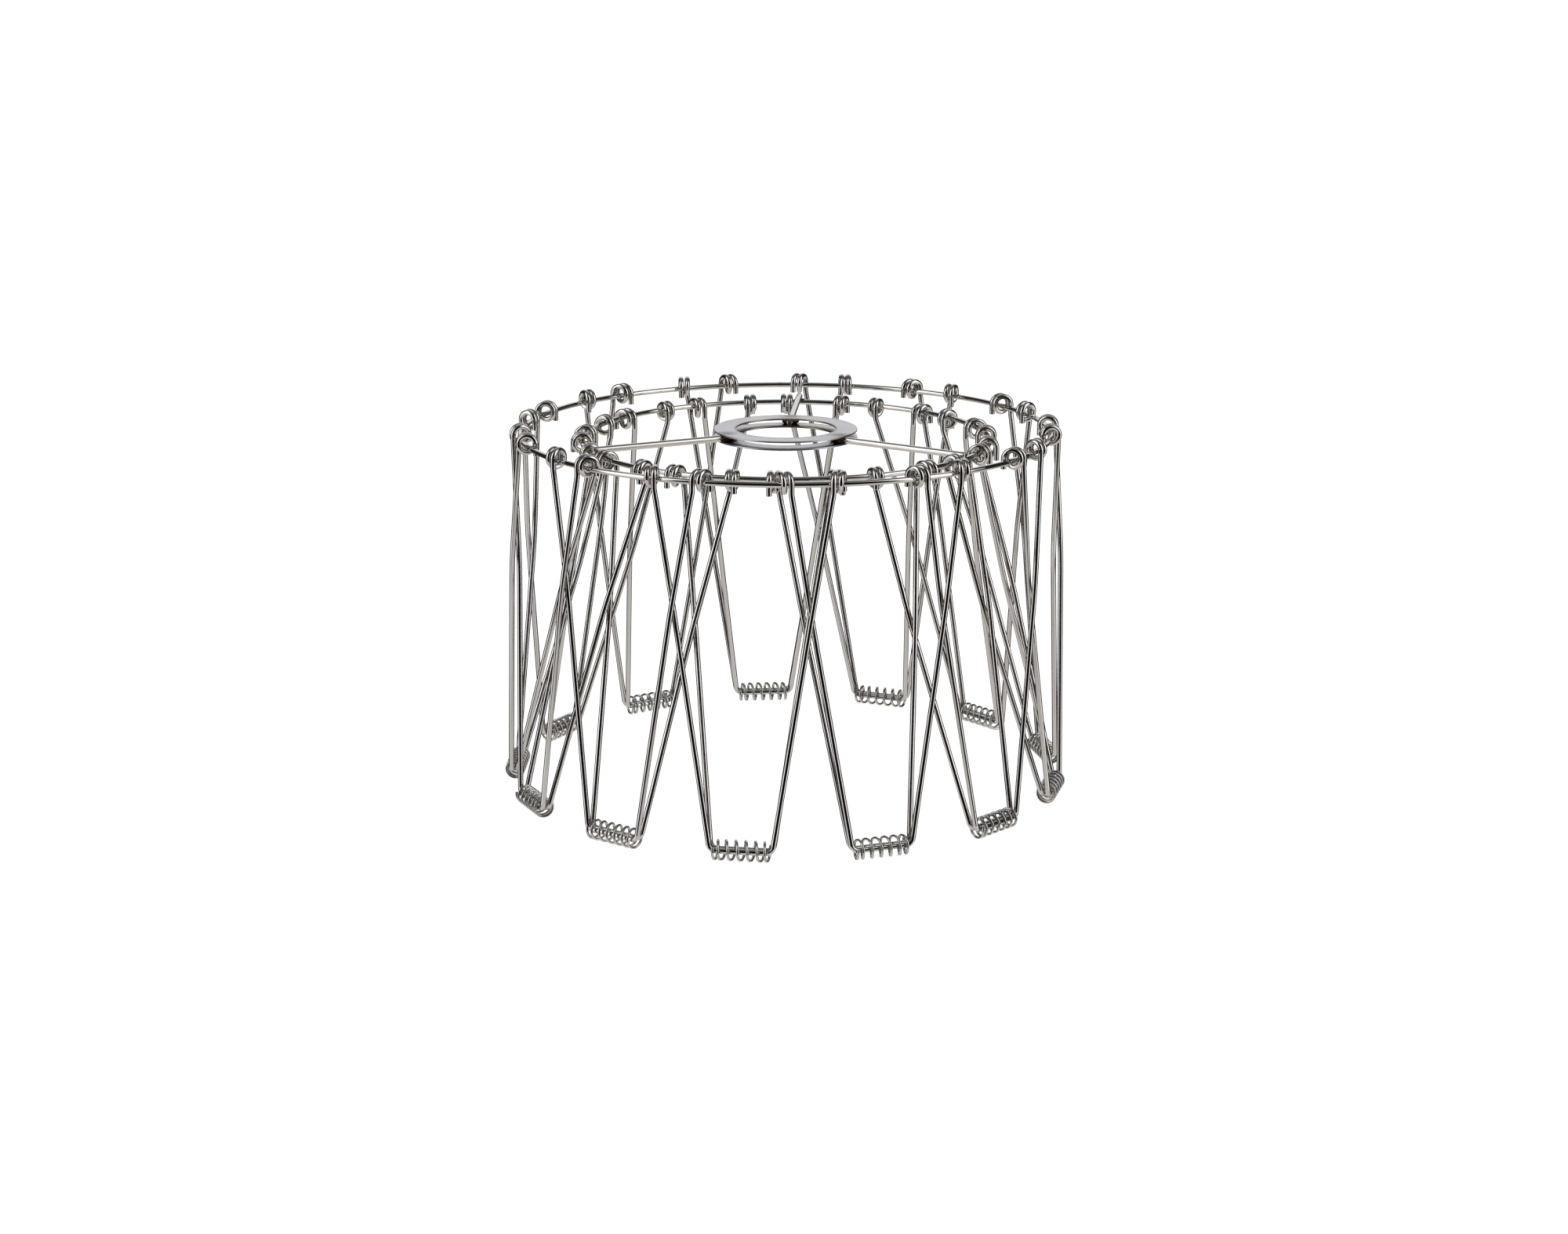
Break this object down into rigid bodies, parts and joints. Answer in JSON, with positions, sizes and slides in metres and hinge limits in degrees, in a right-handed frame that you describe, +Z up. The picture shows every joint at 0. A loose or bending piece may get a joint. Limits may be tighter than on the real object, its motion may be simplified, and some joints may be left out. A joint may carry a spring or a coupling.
{
  "type": "jointed wire lampshade",
  "caption": "Open drum lampshade of bright steel wire: loops hooked on two rings and joined at the bottom by small coil springs, carried by a flat fitter on spokes.",
  "frame": {"origin": "centre of the fitter's hole, halfway between its two plates", "axes": "+Z up along the hole; the first loop faces -Y"},
  "size_m": [0.2405, 0.2389, 0.1558],
  "materials": {
    "satin_plate": "satin nickel plate",
    "spoke_wire": "bright nickel-chrome plate",
    "ring_wire": "bright nickel-chrome plate, heat tinted at the welds",
    "loop_wire": "bright nickel-chrome plate",
    "spring_wire": "bright plated spring wire"
  },
  "bodies": {
    "welded_frame": {"fitter_plate_top": "satin_plate", "fitter_plate_bottom": "satin_plate", "spoke_1": "spoke_wire", "spoke_2": "spoke_wire", "spoke_3": "spoke_wire", "inner_ring": "ring_wire"},
    "hung_ring": {"outer_ring": "ring_wire"},
    "inner_link_01": {"inner_loop_01": "loop_wire", "coil_spring_01": "spring_wire"},
    "inner_link_02": {"inner_loop_02": "loop_wire", "coil_spring_02": "spring_wire"},
    "inner_link_03": {"inner_loop_03": "loop_wire", "coil_spring_03": "spring_wire"},
    "inner_link_04": {"inner_loop_04": "loop_wire", "coil_spring_04": "spring_wire"},
    "inner_link_05": {"inner_loop_05": "loop_wire", "coil_spring_05": "spring_wire"},
    "inner_link_06": {"inner_loop_06": "loop_wire", "coil_spring_06": "spring_wire"},
    "inner_link_07": {"inner_loop_07": "loop_wire", "coil_spring_07": "spring_wire"},
    "inner_link_08": {"inner_loop_08": "loop_wire", "coil_spring_08": "spring_wire"},
    "inner_link_09": {"inner_loop_09": "loop_wire", "coil_spring_09": "spring_wire"},
    "inner_link_10": {"inner_loop_10": "loop_wire", "coil_spring_10": "spring_wire"},
    "inner_link_11": {"inner_loop_11": "loop_wire", "coil_spring_11": "spring_wire"},
    "inner_link_12": {"inner_loop_12": "loop_wire", "coil_spring_12": "spring_wire"},
    "inner_link_13": {"inner_loop_13": "loop_wire", "coil_spring_13": "spring_wire"},
    "outer_link_01": {"outer_loop_01": "loop_wire"},
    "outer_link_02": {"outer_loop_02": "loop_wire"},
    "outer_link_03": {"outer_loop_03": "loop_wire"},
    "outer_link_04": {"outer_loop_04": "loop_wire"},
    "outer_link_05": {"outer_loop_05": "loop_wire"},
    "outer_link_06": {"outer_loop_06": "loop_wire"},
    "outer_link_07": {"outer_loop_07": "loop_wire"},
    "outer_link_08": {"outer_loop_08": "loop_wire"},
    "outer_link_09": {"outer_loop_09": "loop_wire"},
    "outer_link_10": {"outer_loop_10": "loop_wire"},
    "outer_link_11": {"outer_loop_11": "loop_wire"},
    "outer_link_12": {"outer_loop_12": "loop_wire"},
    "outer_link_13": {"outer_loop_13": "loop_wire"}
  },
  "joints": [
    {"name": "inner_swing_01", "type": "hinge", "parent": "welded_frame", "child": "inner_link_01", "pos_m": [0, -0.07873, -0.0024], "axis": [-1, 0, 0], "range_deg": [-8, 8]},
    {"name": "inner_swing_02", "type": "hinge", "parent": "welded_frame", "child": "inner_link_02", "pos_m": [0.03659, -0.06971, -0.0024], "axis": [-0.8855, -0.4647, 0], "range_deg": [-8, 8]},
    {"name": "inner_swing_03", "type": "hinge", "parent": "welded_frame", "child": "inner_link_03", "pos_m": [0.06479, -0.04472, -0.0024], "axis": [-0.5681, -0.823, 0], "range_deg": [-8, 8]},
    {"name": "inner_swing_04", "type": "hinge", "parent": "welded_frame", "child": "inner_link_04", "pos_m": [0.07815, -0.00949, -0.0024], "axis": [-0.1205, -0.9927, 0], "range_deg": [-8, 8]},
    {"name": "inner_swing_05", "type": "hinge", "parent": "welded_frame", "child": "inner_link_05", "pos_m": [0.07361, 0.02792, -0.0024], "axis": [0.3546, -0.935, 0], "range_deg": [-8, 8]},
    {"name": "inner_swing_06", "type": "hinge", "parent": "welded_frame", "child": "inner_link_06", "pos_m": [0.05221, 0.05893, -0.0024], "axis": [0.7485, -0.6631, 0], "range_deg": [-8, 8]},
    {"name": "inner_swing_07", "type": "hinge", "parent": "welded_frame", "child": "inner_link_07", "pos_m": [0.01884, 0.07644, -0.0024], "axis": [0.9709, -0.2393, 0], "range_deg": [-8, 8]},
    {"name": "inner_swing_08", "type": "hinge", "parent": "welded_frame", "child": "inner_link_08", "pos_m": [-0.01884, 0.07644, -0.0024], "axis": [0.9709, 0.2393, 0], "range_deg": [-8, 8]},
    {"name": "inner_swing_09", "type": "hinge", "parent": "welded_frame", "child": "inner_link_09", "pos_m": [-0.05221, 0.05893, -0.0024], "axis": [0.7485, 0.6631, 0], "range_deg": [-8, 8]},
    {"name": "inner_swing_10", "type": "hinge", "parent": "welded_frame", "child": "inner_link_10", "pos_m": [-0.07361, 0.02792, -0.0024], "axis": [0.3546, 0.935, 0], "range_deg": [-8, 8]},
    {"name": "inner_swing_11", "type": "hinge", "parent": "welded_frame", "child": "inner_link_11", "pos_m": [-0.07815, -0.00949, -0.0024], "axis": [-0.1205, 0.9927, 0], "range_deg": [-8, 8]},
    {"name": "inner_swing_12", "type": "hinge", "parent": "welded_frame", "child": "inner_link_12", "pos_m": [-0.06479, -0.04472, -0.0024], "axis": [-0.5681, 0.823, 0], "range_deg": [-8, 8]},
    {"name": "inner_swing_13", "type": "hinge", "parent": "welded_frame", "child": "inner_link_13", "pos_m": [-0.03659, -0.06971, -0.0024], "axis": [-0.8855, 0.4647, 0], "range_deg": [-8, 8]},
    {"name": "ring_rise", "type": "slide", "parent": "welded_frame", "child": "hung_ring", "axis": [0, 0, 1], "range_m": [-0.00326, 0.00326]},
    {"name": "outer_swing_01", "type": "hinge", "parent": "hung_ring", "child": "outer_link_01", "pos_m": [0, -0.10429, 0.00085], "axis": [-1, 0, 0], "range_deg": [-8, 8]},
    {"name": "outer_swing_02", "type": "hinge", "parent": "hung_ring", "child": "outer_link_02", "pos_m": [0.04847, -0.09234, 0.00085], "axis": [-0.8855, -0.4647, 0], "range_deg": [-8, 8]},
    {"name": "outer_swing_03", "type": "hinge", "parent": "hung_ring", "child": "outer_link_03", "pos_m": [0.08583, -0.05924, 0.00085], "axis": [-0.5681, -0.823, 0], "range_deg": [-8, 8]},
    {"name": "outer_swing_04", "type": "hinge", "parent": "hung_ring", "child": "outer_link_04", "pos_m": [0.10353, -0.01257, 0.00085], "axis": [-0.1205, -0.9927, 0], "range_deg": [-8, 8]},
    {"name": "outer_swing_05", "type": "hinge", "parent": "hung_ring", "child": "outer_link_05", "pos_m": [0.09751, 0.03698, 0.00085], "axis": [0.3546, -0.935, 0], "range_deg": [-8, 8]},
    {"name": "outer_swing_06", "type": "hinge", "parent": "hung_ring", "child": "outer_link_06", "pos_m": [0.06916, 0.07806, 0.00085], "axis": [0.7485, -0.6631, 0], "range_deg": [-8, 8]},
    {"name": "outer_swing_07", "type": "hinge", "parent": "hung_ring", "child": "outer_link_07", "pos_m": [0.02496, 0.10126, 0.00085], "axis": [0.9709, -0.2393, 0], "range_deg": [-8, 8]},
    {"name": "outer_swing_08", "type": "hinge", "parent": "hung_ring", "child": "outer_link_08", "pos_m": [-0.02496, 0.10126, 0.00085], "axis": [0.9709, 0.2393, 0], "range_deg": [-8, 8]},
    {"name": "outer_swing_09", "type": "hinge", "parent": "hung_ring", "child": "outer_link_09", "pos_m": [-0.06916, 0.07806, 0.00085], "axis": [0.7485, 0.6631, 0], "range_deg": [-8, 8]},
    {"name": "outer_swing_10", "type": "hinge", "parent": "hung_ring", "child": "outer_link_10", "pos_m": [-0.09751, 0.03698, 0.00085], "axis": [0.3546, 0.935, 0], "range_deg": [-8, 8]},
    {"name": "outer_swing_11", "type": "hinge", "parent": "hung_ring", "child": "outer_link_11", "pos_m": [-0.10353, -0.01257, 0.00085], "axis": [-0.1205, 0.9927, 0], "range_deg": [-8, 8]},
    {"name": "outer_swing_12", "type": "hinge", "parent": "hung_ring", "child": "outer_link_12", "pos_m": [-0.08583, -0.05924, 0.00085], "axis": [-0.5681, 0.823, 0], "range_deg": [-8, 8]},
    {"name": "outer_swing_13", "type": "hinge", "parent": "hung_ring", "child": "outer_link_13", "pos_m": [-0.04847, -0.09234, 0.00085], "axis": [-0.8855, 0.4647, 0], "range_deg": [-8, 8]}
  ],
  "couplings": [
    {"joint": "inner_swing_01", "follows": "ring_rise", "rad_per_m": 42.79},
    {"joint": "inner_swing_02", "follows": "ring_rise", "rad_per_m": 42.79},
    {"joint": "inner_swing_03", "follows": "ring_rise", "rad_per_m": 42.79},
    {"joint": "inner_swing_04", "follows": "ring_rise", "rad_per_m": 42.79},
    {"joint": "inner_swing_05", "follows": "ring_rise", "rad_per_m": 42.79},
    {"joint": "inner_swing_06", "follows": "ring_rise", "rad_per_m": 42.79},
    {"joint": "inner_swing_07", "follows": "ring_rise", "rad_per_m": 42.79},
    {"joint": "inner_swing_08", "follows": "ring_rise", "rad_per_m": 42.79},
    {"joint": "inner_swing_09", "follows": "ring_rise", "rad_per_m": 42.79},
    {"joint": "inner_swing_10", "follows": "ring_rise", "rad_per_m": 42.79},
    {"joint": "inner_swing_11", "follows": "ring_rise", "rad_per_m": 42.79},
    {"joint": "inner_swing_12", "follows": "ring_rise", "rad_per_m": 42.79},
    {"joint": "inner_swing_13", "follows": "ring_rise", "rad_per_m": 42.79},
    {"joint": "outer_swing_01", "follows": "ring_rise", "rad_per_m": 41.83},
    {"joint": "outer_swing_02", "follows": "ring_rise", "rad_per_m": 41.83},
    {"joint": "outer_swing_03", "follows": "ring_rise", "rad_per_m": 41.83},
    {"joint": "outer_swing_04", "follows": "ring_rise", "rad_per_m": 41.83},
    {"joint": "outer_swing_05", "follows": "ring_rise", "rad_per_m": 41.83},
    {"joint": "outer_swing_06", "follows": "ring_rise", "rad_per_m": 41.83},
    {"joint": "outer_swing_07", "follows": "ring_rise", "rad_per_m": 41.83},
    {"joint": "outer_swing_08", "follows": "ring_rise", "rad_per_m": 41.83},
    {"joint": "outer_swing_09", "follows": "ring_rise", "rad_per_m": 41.83},
    {"joint": "outer_swing_10", "follows": "ring_rise", "rad_per_m": 41.83},
    {"joint": "outer_swing_11", "follows": "ring_rise", "rad_per_m": 41.83},
    {"joint": "outer_swing_12", "follows": "ring_rise", "rad_per_m": 41.83},
    {"joint": "outer_swing_13", "follows": "ring_rise", "rad_per_m": 41.83}
  ]
}
